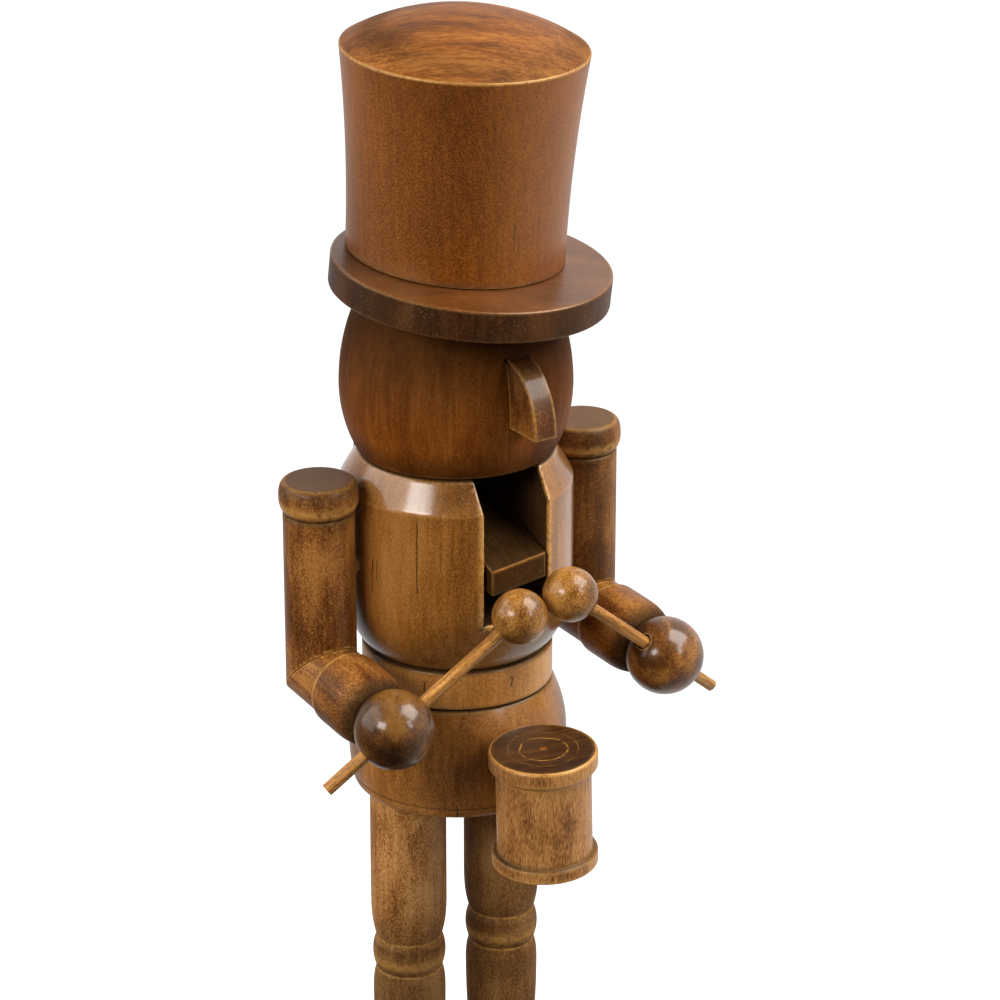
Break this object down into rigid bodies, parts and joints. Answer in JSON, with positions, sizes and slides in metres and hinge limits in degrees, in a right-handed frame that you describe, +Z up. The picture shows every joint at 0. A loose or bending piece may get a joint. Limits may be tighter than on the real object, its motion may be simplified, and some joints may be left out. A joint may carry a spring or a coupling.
{
  "type": "nutcracker",
  "caption": "Turned wooden nutcracker drummer with a top hat, ball hands holding drumsticks, a drum at the hips and a jaw lever that swings in a slot through the torso.",
  "frame": {"origin": "centre of the base's underside, on the floor", "axes": "+Z up the figure, -Y the way it faces, +X to the figure's left"},
  "size_m": [0.1294, 0.1242, 0.3549],
  "materials": {
    "crown": "walnut stain under satin varnish",
    "brim": "walnut stain under satin varnish, matt on the sawn edge",
    "head": "walnut stain under satin varnish",
    "torso": "walnut stain under satin varnish",
    "arm": "dark walnut stain under satin varnish",
    "ball": "dark walnut stain under gloss varnish",
    "reed": "split reed, thin stain",
    "jaw": "dark walnut stain, matt and worn at the edges",
    "pale": "light walnut stain under satin varnish",
    "bare": "bare beech, unfinished"
  },
  "bodies": {
    "figure": {"base": "torso", "drum": "pale", "drum_dowel": "bare", "hips": "pale", "waist_band": "torso", "waist_dowel": "bare", "torso": "torso", "jaw_pin": "bare", "hat_brim": "brim", "hat_crown": "crown", "hat_dowel": "bare", "head": "head", "nose": "ball", "right_foot": "torso", "right_leg": "pale", "right_ankle_dowel": "bare", "right_hip_dowel": "bare", "right_upper_arm": "arm", "right_forearm": "arm", "right_hand": "ball", "right_shoulder_dowel": "bare", "right_elbow_dowel": "bare", "right_wrist_dowel": "bare", "right_drumstick": "reed", "right_mallet": "ball", "right_neck_dowel": "bare", "left_foot": "torso", "left_leg": "pale", "left_ankle_dowel": "bare", "left_hip_dowel": "bare", "left_upper_arm": "arm", "left_forearm": "arm", "left_hand": "ball", "left_shoulder_dowel": "bare", "left_elbow_dowel": "bare", "left_wrist_dowel": "bare", "left_drumstick": "reed", "left_mallet": "ball", "left_neck_dowel": "bare"},
    "jaw": {"jaw_lever": "jaw"}
  },
  "joints": [
    {"name": "jaw_hinge", "type": "hinge", "parent": "figure", "child": "jaw", "pos_m": [0, 0.02, 0.2199], "axis": [1, 0, 0], "range_deg": [-25, 10]}
  ]
}
